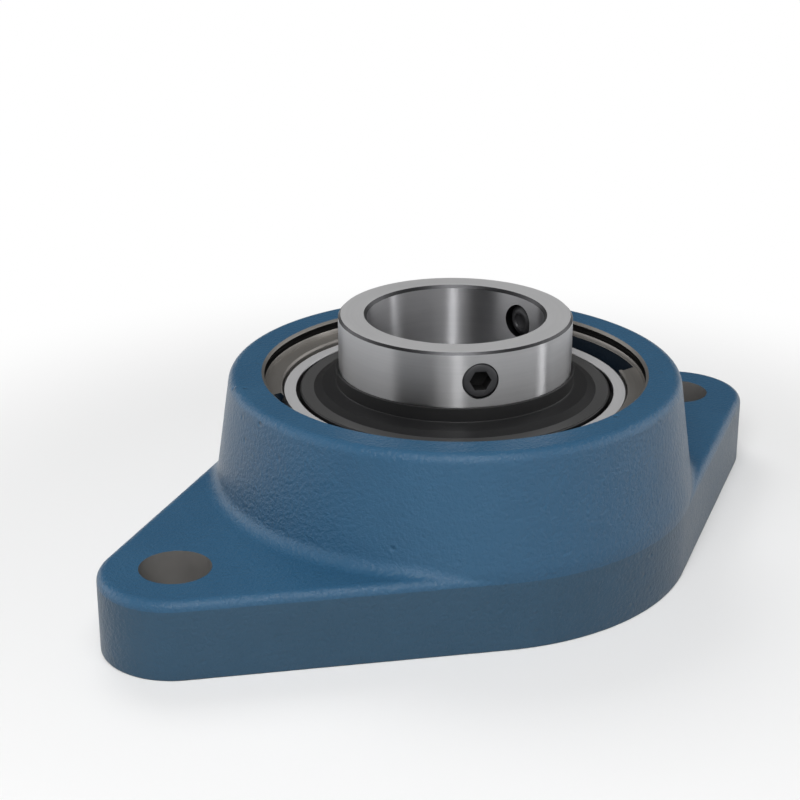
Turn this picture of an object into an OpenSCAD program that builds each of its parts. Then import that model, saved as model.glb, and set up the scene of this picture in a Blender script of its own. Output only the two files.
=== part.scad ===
// Two-bolt flange bearing unit: a cast housing with a self-aligning insert
// bearing, locked on its shaft by two set screws. The origin is on the shaft
// axis in the mounting face, +Z runs up the shaft and +X along the bolt line.

/* [Flange] */
// Distance between the two bolt holes
bolt_spacing = 116.5; // [105:0.5:140]
// Diameter of the bolt holes
bolt_hole_d = 11.5; // [8:0.5:14]
// Diameter of the round end of an arm
arm_end_d = 24.5; // [20:0.5:30]
// Width of the flange, which is its middle circle
flange_width = 82.5; // [80:0.5:92]
// Height of the flange
flange_height = 13.3; // [11:0.1:16]
// Radius of the rounded top edge of the flange
edge_fillet = 1.5; // [0.5:0.1:3]

/* [Boss] */
// Height of the housing from the mounting face to the rim
housing_height = 32.5; // [31.6:0.1:34]
// Diameter of the boss at the rim, before its edge is rounded
boss_top_d = 76.9; // [74:0.1:79]
// Radius of the rounded edge of the rim
rim_fillet = 1.75; // [0.5:0.05:2.5]
// Radius of the fillet where the boss stands on the flange
foot_fillet = 2.5; // [1:0.1:3.5]
// Diameter of the bore land below the cover groove
land_d = 64.8; // [64:0.1:66]
// Chamfer of the bore at the rim
rim_chamfer = 0.5; // [0.2:0.1:0.8]
// Width of the groove that an end cover snaps into
cover_groove_w = 1.25; // [0.8:0.05:1.4]
// Depth of that groove below the land
cover_groove_depth = 0.9; // [0.5:0.1:1.2]
// Width of the spherical seat along the axis
seat_w = 19; // [18:0.2:19.2]
// Width of the two loading slots in the seat
slot_w = 30.2; // [20:0.2:34]
// Diameter of the recess behind the seat
rear_recess_d = 61; // [60:0.2:64]
// Chamfer of the rear recess at the mounting face
rear_chamfer = 1; // [0.4:0.1:2]

/* [Grease way] */
// Height of the grease groove and of the holes in the outer ring
grease_z = 14.6; // [14.2:0.1:14.9]
// Width of the grease groove in the seat
grease_groove_w = 3; // [2:0.1:3.4]
// Depth of the grease groove in the seat
grease_groove_depth = 0.8; // [0.4:0.1:1.2]
// Diameter of the drilled grease channel
grease_channel_d = 2.5; // [2:0.1:3]
// Diameter of the grease holes in the outer ring
ring_grease_hole_d = 1.8; // [1:0.1:2]
// Upward tilt of the grease nipple
nipple_tilt = 15; // [12:1:18]
// Distance of the nipple's spot face from the shaft axis
spot_face_r = 40; // [39.5:0.1:40.2]
// Diameter of the spot face
spot_face_d = 9; // [8.6:0.1:10]

/* [Insert bearing] */
// Height of the bearing's middle plane above the mounting face
bearing_z = 20; // [19.8:0.1:20.4]
// Diameter of the outer ring's spherical outside
outer_d = 62; // [61.6:0.1:62.4]
// Width of the outer ring
outer_w = 18; // [17.8:0.1:18.6]
// Chamfer of the outer ring's faces
outer_chamfer = 0.5; // [0.2:0.1:0.8]
// Distance from the pitch circle out to the outer ring's inside
outer_step = 2.9; // [2.5:0.1:3.2]
// Distance from there out to the outer ring's mouth
mouth_step = 1.2; // [1:0.1:1.5]
// Depth of the groove in the mouth that holds a seal
seal_groove_depth = 0.6; // [0.4:0.1:0.8]
// Shaft bore of the inner ring
bore_d = 30; // [28:0.5:31]
// Width of the inner ring
inner_w = 38.1; // [36:0.1:39.5]
// Distance from the pitch circle in to the inner ring's outside
collar_step = 3.15; // [3:0.05:3.4]
// Reach of the inner ring above the middle plane
collar_reach = 22.2; // [21:0.1:24]
// Chamfer of the collar's outer edges
collar_chamfer = 0.4; // [0.2:0.1:0.8]
// Chamfer of the bore at both ends
bore_chamfer = 0.5; // [0.3:0.1:1]

/* [Balls and cage] */
// Diameter of a ball
ball_d = 9.525; // [9.3:0.025:9.6]
// Raceway radius as a share of the ball diameter
conformity = 0.52; // [0.515:0.005:0.53]
// Play between a ball and a raceway
race_play = 0.02; // [0.01:0.01:0.04]
// Play between a ball and its cage pocket
pocket_play = 0.12; // [0.08:0.02:0.2]
// Gap between the cage and the inner ring
cage_inner_gap = 1.05; // [0.75:0.05:1.35]
// Gap between the cage and the outer ring
cage_outer_gap = 0.8; // [0.5:0.05:1.4]
// Reach of the cage below the ball centres
cage_back = 5.7; // [5.4:0.1:5.8]
// Reach of the cage prongs above the ball centres
cage_front = 2.4; // [1.8:0.1:3]
// Gap between two neighbouring prongs
prong_gap = 2.6; // [2:0.1:3]

/* [Seals and flingers] */
// Thickness of a seal
seal_t = 1.2; // [0.8:0.1:1.4]
// Distance of the inner side of a seal from the middle plane
seal_offset = 6.1; // [5.9:0.1:6.3]
// Play of a seal in its groove and at its lip
seal_play = 0.02; // [0.01:0.01:0.04]
// Reach of a flinger beyond the collar
flinger_reach = 6.65; // [6.2:0.05:6.85]
// Thickness of the flinger's neck on the collar
flinger_neck_t = 0.49; // [0.3:0.01:0.6]
// Distance of the neck's end from the middle plane
flinger_neck_end = 12.9; // [12:0.1:13.2]
// Distance of the flinger's inner step from the middle plane
flinger_step_z = 10.4; // [10.2:0.1:10.6]
// Distance of the flinger's outer flat from the middle plane
flinger_flat_z = 9.3; // [9.1:0.1:9.5]
// Distance of the top of the flinger's slope from the collar
slope_top_reach = 2.8; // [2.4:0.1:3.2]
// Distance of the foot of the flinger's slope from the collar
slope_foot_reach = 4.3; // [3.9:0.1:4.7]
// Thickness of a flinger
flinger_t = 0.9; // [0.6:0.1:1]
// Gap left between pressed-on pieces of one assembly
press_gap = 0.01; // [0.01:0.01:0.02]

/* [Set screws] */
// Thread diameter of a set screw
set_screw_d = 6; // [5:0.5:6]
// Length of a set screw
set_screw_l = 4.5; // [4:0.1:4.6]
// Distance of the screws from the collar's end
screw_from_end = 4.9; // [4:0.1:5.2]
// Angle from the bolt line to the second screw
screw_angle = 120; // [60:5:150]
// Gap around a set screw in its tapped hole
thread_play = 0.03; // [0.02:0.01:0.05]
// Width across the flats of the hexagon socket
socket_af = 3; // [2.5:0.5:3]
// Depth of the hexagon socket
socket_depth = 2.3; // [1.5:0.1:2.4]
// Depth of a screw's outer end below the collar's surface
screw_recess = 0.15; // [0.05:0.05:0.2]

/* [Grease nipple] */
// Thread diameter of the nipple
nipple_thread_d = 6; // [5:0.5:6]
// Length of the nipple's thread
nipple_thread_l = 5; // [4:0.1:5.2]
// Width across the flats of the nipple's hexagon
nipple_af = 7; // [6.6:0.1:8]
// Height of the hexagon
nipple_hex_h = 3.5; // [2.5:0.1:4]
// Diameter of the nipple's head
nipple_head_d = 6.5; // [6:0.1:6.7]
// Diameter of the neck below the head
nipple_neck_d = 4.8; // [4.4:0.1:5.2]
// Reach of the nipple above its hexagon
nipple_head_h = 6; // [5.4:0.1:7]
// Diameter of the chamber in the nipple
nipple_bore_d = 2.4; // [2.3:0.1:2.8]
// Diameter of the check ball
check_ball_d = 2; // [1.8:0.1:2.2]
// Diameter of the mouth that the check ball closes
nipple_mouth_d = 1.4; // [1.2:0.1:1.5]
// Wire diameter of the check spring
spring_wire_d = 0.3; // [0.2:0.05:0.35]
// Turns of the check spring
spring_turns = 8; // [5:1:10]

/* [Hidden] */
$fn = 96;
small_fn = 48;

// Depth by which two shapes of one piece run into each other
bite = 1;
// Overshoot of a cut past the surface that it opens
past = 1;
// Depth by which a curve crosses a face that it would else only touch
crossing = 0.005;

// Plan of the flange: a middle circle, two end circles and their tangents
mid_r = flange_width / 2;
end_x = bolt_spacing / 2;
end_r = arm_end_d / 2;
flange_length = bolt_spacing + arm_end_d;
side_angle = acos((mid_r - end_r) / end_x);
side_length = end_x * sin(side_angle);
side_bar_w = edge_fillet + 2 * bite;

// Section of the boss
boss_top_r = boss_top_d / 2;
draft = atan((mid_r - boss_top_r) / (housing_height - flange_height));
foot_reach = foot_fillet - crossing;
foot_centre = [mid_r + foot_reach * (1 - sin(draft)) / cos(draft), flange_height + foot_reach];
foot_top_z = foot_centre[1] - foot_reach * sin(draft);
rim_centre_z = housing_height - rim_fillet;
rim_reach = rim_fillet - crossing;
rim_centre_r = mid_r - (rim_centre_z - flange_height) * tan(draft) - rim_reach / cos(draft);
// Slope of the boss foot where it ends, and its gap to the flange's rounded edge
foot_end_slope = 30;
foot_end_gap = 0.15;

// Section of the housing bore
land_r = land_d / 2;
seat_play = 0.02;
seat_r = outer_d / 2 + seat_play;
seat_top = bearing_z + seat_w / 2;
seat_bottom = bearing_z - seat_w / 2;
shoulder_chamfer = 0.3;
seat_edge_r = sqrt(seat_r * seat_r - seat_w * seat_w / 4);

// Rolling parts
ball_count = 9;
ball_r = ball_d / 2;
pitch_r = (bore_d + outer_d) / 4;
race_r = conformity * ball_d;
ball_step = 360 / ball_count;
outer_inside_r = pitch_r + outer_step;
mouth_r = outer_inside_r + mouth_step;
seal_groove_r = mouth_r + seal_groove_depth;
collar_r = pitch_r - collar_step;
cage_inner_r = collar_r + cage_inner_gap;
cage_wall = outer_inside_r - cage_outer_gap - cage_inner_r;

// Inner ring and collar
collar_top = bearing_z + collar_reach;
screw_z = collar_top - screw_from_end;
screw_angles = [0, -screw_angle];

// Grease nipple: its own frame starts at the spot face and runs outward
spot_face_z = grease_z + (spot_face_r - seat_r) * tan(nipple_tilt);
tapped_depth = nipple_thread_l + 0.8;
channel_l = (spot_face_r - seat_r) / cos(nipple_tilt) + past;
nipple_tip = nipple_hex_h + nipple_head_h;
mouth_l = 0.6;
chamber_start = -nipple_thread_l + 1;
check_ball_at = nipple_tip - mouth_l - check_seat_drop();
spring_r = (nipple_bore_d - spring_wire_d) / 2 - 0.1;
spring_start = chamber_start + spring_wire_d / 2 + 0.02;
spring_end = check_ball_at - check_ball_d / 2 - spring_wire_d / 2 - 0.02;

// Drop of the check ball's centre below the edge of the mouth, with a little play
function check_seat_drop() = sqrt(pow(check_ball_d / 2, 2) - pow(nipple_mouth_d / 2, 2)) + 0.02;

// Profile of a plate of the given reach with its top outer edge rounded, drawn
// from x = 0 outward and cut to the flange's height later
module plate_profile(reach) {
    uncut = flange_height + crossing;
    square([reach, uncut - edge_fillet]);
    square([reach - edge_fillet, uncut]);
    translate([reach - edge_fillet, uncut - edge_fillet])
        circle(r = edge_fillet, $fn = small_fn);
}

// One straight side of the flange, from the middle circle to an end circle
module side_bar() {
    rotate([0, 0, side_angle])
        translate([mid_r - crossing, 0, 0])
            rotate([90, 0, 0])
                linear_extrude(height = side_length)
                    translate([-side_bar_w, 0])
                        plate_profile(side_bar_w);
}

// Flat core of one arm between its two straight sides
module arm_core() {
    inset = edge_fillet + bite;
    n = [cos(side_angle), sin(side_angle)];
    inner = (mid_r - inset) * n;
    outer = [end_x, 0] + (end_r - inset) * n;
    linear_extrude(height = flange_height + crossing)
        polygon([inner, outer, [outer[0], -outer[1]], [inner[0], -inner[1]]]);
}

module arm() {
    difference() {
        union() {
            arm_core();
            side_bar();
            mirror([0, 1, 0]) side_bar();
            translate([end_x, 0, 0])
                rotate_extrude()
                    plate_profile(end_r);
        }
        translate([0, -flange_width, flange_height])
            cube([flange_length, 2 * flange_width, past]);
    }
}

// Outside of the boss: the middle of the flange, the drafted wall and the rim
module boss_outside() {
    rim_start = [rim_centre_r, rim_centre_z] + rim_reach * [cos(draft), sin(draft)];
    rotate_extrude() {
        polygon([[0, 0], [mid_r, 0], [mid_r, flange_height], rim_start,
                 [rim_centre_r, rim_centre_z], [rim_centre_r, housing_height],
                 [0, housing_height]]);
        translate([rim_centre_r, rim_centre_z])
            circle(r = rim_fillet, $fn = small_fn);
    }
}

// Fillet between the boss and the arms, ended where the rounded edges begin
module foot() {
    edge_x = mid_r * cos(side_angle);
    inside_r = foot_centre[0] - foot_fillet - bite;
    low = flange_height - edge_fillet / 3;
    size = foot_fillet * 10;
    difference() {
        rotate_extrude()
            difference() {
                translate([inside_r, low])
                    square([foot_centre[0] - inside_r, foot_top_z - low]);
                translate(foot_centre)
                    circle(r = foot_fillet, $fn = small_fn);
            }
        translate([-edge_x, -flange_width, 0])
            cube([2 * edge_x, 2 * flange_width, housing_height]);
        for (mx = [0, 1], my = [0, 1])
            mirror([mx, 0, 0])
                mirror([0, my, 0])
                    rotate([0, 0, side_angle])
                        translate([mid_r - edge_fillet - foot_end_gap, 0, flange_height])
                            rotate([0, -foot_end_slope, 0])
                                translate([0, -size, -size])
                                    cube([size, 2 * size, 2 * size]);
    }
}

// Everything turned in the housing: rear recess, seat, shoulder, land and groove
module housing_bore() {
    groove_top = housing_height - rim_chamfer;
    groove_bottom = groove_top - cover_groove_w;
    shoulder_z = seat_top + shoulder_chamfer;
    rotate_extrude() {
        // Rear recess and its chamfer
        translate([0, -past]) square([rear_recess_d / 2, seat_bottom + past]);
        polygon([[0, 0], [rear_recess_d / 2 + rear_chamfer, 0],
                 [rear_recess_d / 2, rear_chamfer], [0, rear_chamfer]]);
        // Spherical seat
        intersection() {
            translate([0, bearing_z]) circle(r = seat_r);
            translate([0, seat_bottom - bite]) square([seat_r + past, seat_w + 2 * bite]);
        }
        // Machined shoulder, land, cover groove and rim chamfer
        polygon([[0, seat_top - crossing], [seat_edge_r - crossing, seat_top - crossing],
                 [seat_edge_r + shoulder_chamfer, shoulder_z], [land_r, shoulder_z],
                 [land_r, groove_bottom], [land_r + cover_groove_depth, groove_bottom],
                 [land_r + cover_groove_depth, groove_top], [land_r + 0.1, groove_top],
                 [land_r + 0.1 + rim_chamfer, housing_height],
                 [land_r + 0.1 + rim_chamfer, housing_height + past],
                 [0, housing_height + past]]);
        // Grease groove
        translate([0, grease_z - grease_groove_w / 2])
            square([seat_r + grease_groove_depth, grease_groove_w]);
    }
}

// Two slots through which the outer ring goes in on edge, down to the middle plane
module loading_slots() {
    intersection() {
        translate([0, 0, bearing_z]) cylinder(r = land_r, h = seat_w / 2 + shoulder_chamfer);
        translate([-land_r, -slot_w / 2, bearing_z])
            cube([2 * land_r, slot_w, seat_w]);
    }
}

// Moves a child from the nipple's own frame to its place on the boss
module at_nipple() {
    translate([0, spot_face_r, spot_face_z])
        rotate([nipple_tilt - 90, 0, 0])
            children();
}

module grease_way() {
    at_nipple() {
        cylinder(d = spot_face_d, h = 3 * past + nipple_hex_h, $fn = small_fn);
        translate([0, 0, -tapped_depth])
            cylinder(d = nipple_thread_d + 2 * thread_play, h = tapped_depth + past, $fn = small_fn);
        translate([0, 0, -channel_l])
            cylinder(d = grease_channel_d, h = channel_l, $fn = small_fn);
    }
}

module housing() {
    color("steelblue")
        difference() {
            union() {
                boss_outside();
                foot();
                arm();
                mirror([1, 0, 0]) arm();
            }
            housing_bore();
            loading_slots();
            grease_way();
            for (side = [-1, 1])
                translate([side * end_x, 0, -past])
                    cylinder(d = bolt_hole_d, h = flange_height + 2 * past);
        }
}

module outer_ring() {
    half_w = outer_w / 2;
    seal_top = seal_offset + seal_t;
    color("silver")
        translate([0, 0, bearing_z])
            difference() {
                rotate_extrude()
                    difference() {
                        intersection() {
                            circle(d = outer_d);
                            translate([0, -half_w]) square([outer_d, outer_w]);
                            // Chamfers between the sphere and both faces
                            chamfered_half(sqrt(pow(outer_d / 2, 2) - half_w * half_w), half_w);
                        }
                        translate([0, -half_w - past])
                            square([outer_inside_r, outer_w + 2 * past]);
                        for (side = [-1, 1]) {
                            translate([0, side > 0 ? seal_offset : -half_w - past])
                                square([mouth_r, half_w + past - seal_offset]);
                            translate([0, side > 0 ? seal_offset : -seal_top])
                                square([seal_groove_r, seal_t]);
                        }
                        translate([pitch_r + ball_r + race_play - race_r, 0])
                            circle(r = race_r);
                    }
                // Two grease holes, a third of a turn apart
                for (turn = [90, 210])
                    rotate([0, 0, turn])
                        translate([outer_inside_r - past, 0, grease_z - bearing_z])
                            rotate([0, 90, 0])
                                cylinder(d = ring_grease_hole_d, h = seat_r, $fn = small_fn);
            }
}

// Plan for the outer ring's section, cut back at the four face corners
module chamfered_half(face_r, half_w) {
    back = outer_chamfer;
    top_r = face_r - back;
    low_r = face_r + back * 2;
    polygon([[0, -half_w], [top_r, -half_w], [low_r, -half_w + 3 * back], [outer_d, 0],
             [low_r, half_w - 3 * back], [top_r, half_w], [0, half_w]]);
}

module inner_ring() {
    low = bearing_z + collar_reach - inner_w;
    color("lightgray")
        difference() {
            rotate_extrude()
                difference() {
                    polygon([[bore_d / 2, low + bore_chamfer], [bore_d / 2 + bore_chamfer, low],
                             [collar_r - collar_chamfer, low], [collar_r, low + collar_chamfer],
                             [collar_r, collar_top - collar_chamfer],
                             [collar_r - collar_chamfer, collar_top],
                             [bore_d / 2 + bore_chamfer, collar_top],
                             [bore_d / 2, collar_top - bore_chamfer]]);
                    translate([pitch_r - ball_r - race_play + race_r, bearing_z])
                        circle(r = race_r);
                }
            for (turn = screw_angles)
                rotate([0, 0, turn])
                    translate([0, 0, screw_z])
                        rotate([0, 90, 0])
                            cylinder(d = set_screw_d, h = 2 * collar_r, $fn = small_fn);
        }
}

module ball(i) {
    color("whitesmoke")
        rotate([0, 0, i * ball_step])
            translate([pitch_r, 0, bearing_z])
                sphere(d = ball_d);
}

// One-piece snap cage: a back ring with a pocket for each ball between two prongs
module cage() {
    color("tan")
        translate([0, 0, bearing_z])
            difference() {
                rotate_extrude()
                    translate([cage_inner_r, -cage_back])
                        square([cage_wall, cage_back + cage_front]);
                for (i = [0:ball_count - 1])
                    rotate([0, 0, i * ball_step]) {
                        translate([pitch_r, 0, 0]) sphere(r = ball_r + pocket_play);
                        rotate([0, 0, ball_step / 2])
                            prong_slot();
                    }
            }
}

// Gap between the prongs of two neighbouring pockets, with a round floor
module prong_slot() {
    floor_z = -prong_gap / 2;
    translate([cage_inner_r - past, 0, 0])
        rotate([0, 90, 0])
            linear_extrude(height = cage_wall + 2 * past) {
                translate([-floor_z, 0]) circle(d = prong_gap, $fn = small_fn);
                translate([-cage_front - past, -prong_gap / 2])
                    square([cage_front + past - floor_z, prong_gap]);
            }
}

// Contact seal in the outer ring: a bead in the groove, a plate and a thin lip.
// Drawn for the front side, with z from the middle plane
module seal_section() {
    bead_r = seal_groove_r - seal_play;
    plate_r = mouth_r - seal_play;
    shoulder_r = outer_inside_r;
    lip_r = collar_r + seal_play;
    low = seal_offset + seal_play;
    high = seal_offset + seal_t - seal_play;
    middle = (low + high) / 2;
    polygon([[shoulder_r, low], [bead_r, low], [bead_r, high], [plate_r, high],
             [plate_r - seal_t, middle + seal_t / 4], [collar_r + 2 * seal_t, middle + seal_t / 4],
             [collar_r + seal_t, high], [lip_r, high - seal_t / 4], [lip_r, high - seal_t / 2],
             [collar_r + seal_t, middle - seal_t / 4],
             [shoulder_r - seal_t, middle - seal_t / 4]]);
}

module seal_front() {
    color("dimgray")
        translate([0, 0, bearing_z])
            rotate_extrude() seal_section();
}

module seal_back() {
    color("dimgray")
        translate([0, 0, bearing_z])
            mirror([0, 0, 1])
                rotate_extrude() seal_section();
}

// Rubber-coated flinger pressed on the collar: a neck, an inner step, a slope
// and an outer flat. Drawn for the front side, with z from the middle plane
module flinger_section() {
    fit_r = collar_r + press_gap;
    neck_r = fit_r + flinger_neck_t;
    slope_in_r = collar_r + slope_top_reach;
    slope_out_r = collar_r + slope_foot_reach;
    edge_r = collar_r + flinger_reach;
    break_r = flinger_t / 3;
    slope_top = flinger_step_z - flinger_t / 2;
    polygon([[fit_r, flinger_step_z - flinger_t], [fit_r, flinger_neck_end],
             [neck_r - break_r, flinger_neck_end], [neck_r, flinger_neck_end - break_r],
             [neck_r, flinger_step_z + break_r], [neck_r + break_r, flinger_step_z],
             [slope_in_r, slope_top], [slope_out_r, flinger_flat_z],
             [edge_r - break_r, flinger_flat_z], [edge_r, flinger_flat_z - break_r],
             [edge_r, flinger_flat_z - flinger_t], [slope_out_r, flinger_flat_z - flinger_t],
             [slope_in_r, slope_top - flinger_t]]);
}

module flinger_front() {
    color("#262626")
        translate([0, 0, bearing_z])
            rotate_extrude() flinger_section();
}

module flinger_back() {
    color("#262626")
        translate([0, 0, bearing_z])
            mirror([0, 0, 1])
                rotate_extrude() flinger_section();
}

// Set screw with a hexagon socket outside and a cup point inside
module set_screw(turn) {
    thread_r = set_screw_d / 2 - thread_play;
    tip = collar_r - screw_recess - set_screw_l;
    point_r = thread_r - set_screw_d / 6;
    point_l = set_screw_d / 6;
    edge = 0.3;
    color("#1a1a1a")
        rotate([0, 0, turn])
            translate([tip, 0, screw_z])
                rotate([0, 90, 0])
                    difference() {
                        rotate_extrude($fn = small_fn)
                            polygon([[0, 0.6], [point_r - 0.6, 0], [point_r, 0],
                                     [thread_r, point_l], [thread_r, set_screw_l - edge],
                                     [thread_r - edge, set_screw_l], [0, set_screw_l]]);
                        translate([0, 0, set_screw_l - socket_depth])
                            cylinder(d = socket_af / cos(30), h = socket_depth + past, $fn = 6);
                    }
}

// Grease nipple: thread, hexagon, neck and head, bored for the check ball
module grease_nipple() {
    thread_r = nipple_thread_d / 2;
    neck_r = nipple_neck_d / 2;
    head_r = nipple_head_d / 2;
    head_low = nipple_tip - head_r + 0.4;
    color("goldenrod")
        at_nipple()
            difference() {
                union() {
                    cylinder(d = nipple_af / cos(30), h = nipple_hex_h, $fn = 6);
                    rotate_extrude($fn = small_fn)
                        polygon([[0, -nipple_thread_l], [thread_r - 0.6, -nipple_thread_l],
                                 [thread_r, -nipple_thread_l + 0.6], [thread_r, 0.5],
                                 [thread_r, nipple_hex_h + 0.2], [neck_r, nipple_hex_h + 0.8],
                                 [neck_r, head_low - 1.4], [head_r, head_low - 0.5],
                                 [head_r, head_low + 0.3], [nipple_mouth_d / 2 + 0.4, nipple_tip],
                                 [0, nipple_tip]]);
                }
                translate([0, 0, chamber_start])
                    cylinder(d = nipple_bore_d, h = nipple_tip - mouth_l - chamber_start,
                             $fn = small_fn);
                translate([0, 0, -nipple_thread_l - past])
                    cylinder(d = nipple_mouth_d, h = nipple_thread_l + nipple_tip + 2 * past,
                             $fn = small_fn);
            }
}

module check_ball() {
    color("silver")
        at_nipple()
            translate([0, 0, check_ball_at])
                sphere(d = check_ball_d, $fn = small_fn);
}

// Point of the spring's centre line after the given share of its length
function spring_point(share) =
    let (turn = 360 * spring_turns * share)
    [spring_r * cos(turn), spring_r * sin(turn),
     spring_start + (spring_end - spring_start) * share];

// Check spring as a wire with six sides, swept along its helix
module check_spring() {
    sides = 6;
    per_turn = 12;
    rings = per_turn * spring_turns;
    points = [for (k = [0:rings], s = [0:sides - 1])
        let (p = spring_point(k / rings), turn = 360 * spring_turns * k / rings,
             a = 360 * s / sides, w = spring_wire_d / 2)
        p + w * cos(a) * [cos(turn), sin(turn), 0] + [0, 0, w * sin(a)]];
    tube = [for (k = [0:rings - 1], s = [0:sides - 1])
        let (a = k * sides + s, b = k * sides + (s + 1) % sides)
        [a, a + sides, b + sides, b]];
    first_end = [[for (s = [0:sides - 1]) s]];
    last_end = [[for (s = [sides - 1:-1:0]) rings * sides + s]];
    color("gray")
        at_nipple()
            polyhedron(points = points, faces = concat(first_end, tube, last_end), convexity = 8);
}

housing();
outer_ring();
inner_ring();
cage();
seal_front();
seal_back();
flinger_front();
flinger_back();
set_screw(screw_angles[0]);  // set_screw_1
set_screw(screw_angles[1]);  // set_screw_2
grease_nipple();
check_ball();
check_spring();
for (i = [1:ball_count])
    ball(i);
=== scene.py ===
"""Studio scene of a two-bolt flange bearing unit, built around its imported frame."""
import logging
import math
from dataclasses import dataclass
from enum import Enum, IntEnum
from typing import Callable, Optional, Sequence

import bmesh
import bpy
import numpy as np
from mathutils import Color, Matrix, Vector


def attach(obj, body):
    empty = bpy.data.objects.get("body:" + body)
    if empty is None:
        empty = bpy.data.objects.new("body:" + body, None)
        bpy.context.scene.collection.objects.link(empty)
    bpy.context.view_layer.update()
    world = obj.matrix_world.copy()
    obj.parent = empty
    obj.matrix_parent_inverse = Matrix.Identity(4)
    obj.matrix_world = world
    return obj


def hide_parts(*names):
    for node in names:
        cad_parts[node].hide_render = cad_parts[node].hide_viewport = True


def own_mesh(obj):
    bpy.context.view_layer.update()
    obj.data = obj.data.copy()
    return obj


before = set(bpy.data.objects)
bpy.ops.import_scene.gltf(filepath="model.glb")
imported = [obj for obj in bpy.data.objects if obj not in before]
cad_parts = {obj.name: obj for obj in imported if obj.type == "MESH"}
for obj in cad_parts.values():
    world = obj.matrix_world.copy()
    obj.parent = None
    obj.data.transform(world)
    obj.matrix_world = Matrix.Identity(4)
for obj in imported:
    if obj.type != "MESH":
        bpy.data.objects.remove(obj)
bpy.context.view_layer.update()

LOG = logging.getLogger("flange_unit")
MM = 0.001

Point2 = tuple[float, float]
Points = tuple[Point2, ...]
Numbers = tuple[float, ...]
Piece = bpy.types.Object
Material = bpy.types.Material
Materials = Sequence[bpy.types.Material]
Finishes = dict[str, bpy.types.Material]
Node = bpy.types.Node
Socket = bpy.types.NodeSocket
Tree = bpy.types.NodeTree

# Sizes that more than one piece follows, in millimetres
MIDDLE_Z = 20.0  # middle plane of the insert
SEAT_R = 31.02  # spherical seat of the housing
GREASE_Z = 14.6  # grease groove and grease holes
RACE_R = 4.953  # groove radius of both raceways
SCREW_Z = 37.3  # axis of the set screws
SCREW_TURNS = (0.0, -120.0)  # directions of the set screws, in degrees
THREAD_PITCH = 1.0
THREAD_OPENING = 0.85  # share of the pitch that the thread's groove takes
THREAD_STEPS = 96  # steps around a screw or nipple
WELD = 0.0005  # points nearer than this are merged after a cut
SAME = 0.01  # sizes nearer than this count as equal
NIPPLE_TILT = 15.0  # rise of the nipple's axis, in degrees
NIPPLE_R = 40.0  # distance of its spot face from the shaft axis
FACE_WEIGHT = 60  # how far large faces rule the shading
ALONG_MARKS = 0.25  # turn of stretched highlights, as a share of a full turn


# Helpers for numbers and profiles


def linear(colour: tuple[int, int, int]) -> tuple[float, ...]:
    """Turn a display colour of 0 to 255 into the linear colour that shaders use."""
    return (*Color([value / 255 for value in colour]).from_srgb_to_scene_linear(), 1.0)


def rounded(points: Sequence[Point2], radius: float, steps: int = 3) -> list[Point2]:
    """Round every corner of a closed profile.

    Args:
        points: Corners of the profile, in millimetres.
        radius: Largest radius of a rounded corner.
        steps: Number of straight pieces in each rounding.

    Returns:
        The profile with each corner replaced by a short arc.
    """
    straight, most_of_side = -0.985, 0.4
    result: list[Point2] = []
    for index, corner in enumerate(points):
        here = np.array(corner, float)
        before = np.array(points[index - 1], float) - here
        after = np.array(points[(index + 1) % len(points)], float) - here
        length_before, length_after = np.linalg.norm(before), np.linalg.norm(after)
        cosine = float(np.dot(before, after) / (length_before * length_after))
        if cosine < straight:
            result.append((float(here[0]), float(here[1])))
            continue
        half = math.acos(max(-1.0, min(1.0, cosine))) / 2
        reach = min(radius / math.tan(half), most_of_side * min(length_before, length_after))
        start = here + before / length_before * reach
        end = here + after / length_after * reach
        for share in np.linspace(0, 1, steps + 1):
            bent = (1 - share) ** 2 * start + 2 * share * (1 - share) * here + share**2 * end
            result.append((float(bent[0]), float(bent[1])))
    return result


def arc(centre: Point2, radius: float, start: float, end: float, steps: int) -> list[Point2]:
    """Points on an arc from one angle in degrees to another.

    Args:
        centre: Centre of the arc.
        radius: Radius of the arc.
        start: First angle in degrees.
        end: Last angle in degrees.
        steps: Number of straight pieces.

    Returns:
        The points, both ends among them.
    """
    angles = np.radians(np.linspace(start, end, steps + 1))
    return [(centre[0] + radius * math.cos(a), centre[1] + radius * math.sin(a)) for a in angles]


# Helpers for meshes


def ring_faces(row_count: int, around: int, closed: bool) -> list[Sequence[int]]:
    """Faces of a grid of rows that run around an axis.

    Args:
        row_count: Number of rows.
        around: Number of points in a row.
        closed: Whether the last row joins the first.

    Returns:
        Quads that look outward where the rows run down the outside.
    """
    faces: list[Sequence[int]] = []
    for row in range(row_count if closed else row_count - 1):
        low, high = row * around, ((row + 1) % row_count) * around
        for step in range(around):
            after = (step + 1) % around
            faces.append((low + step, high + step, high + after, low + after))
    return faces


def mesh_object(
    name: str,
    points: np.ndarray,
    faces: Sequence[Sequence[int]],
    materials: Materials,
    face_slots: Optional[Sequence[int]] = None,
) -> Piece:
    """Make a smooth-shaded mesh object.

    Args:
        name: Name of the piece.
        points: Vertices in millimetres, in the part's frame.
        faces: Vertex numbers of each face.
        materials: Materials of the object.
        face_slots: Material number of each face, or None for the first.

    Returns:
        The new object, linked to the scene.
    """
    mesh = bpy.data.meshes.new(name)
    mesh.from_pydata((np.asarray(points, float) * MM).tolist(), [], [list(f) for f in faces])
    for material in materials:
        mesh.materials.append(material)
    if face_slots is not None:
        mesh.polygons.foreach_set("material_index", [int(slot) for slot in face_slots])
    mesh.polygons.foreach_set("use_smooth", [True] * len(mesh.polygons))
    mesh.update()
    piece = bpy.data.objects.new(name, mesh)
    bpy.context.scene.collection.objects.link(piece)
    return piece


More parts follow.
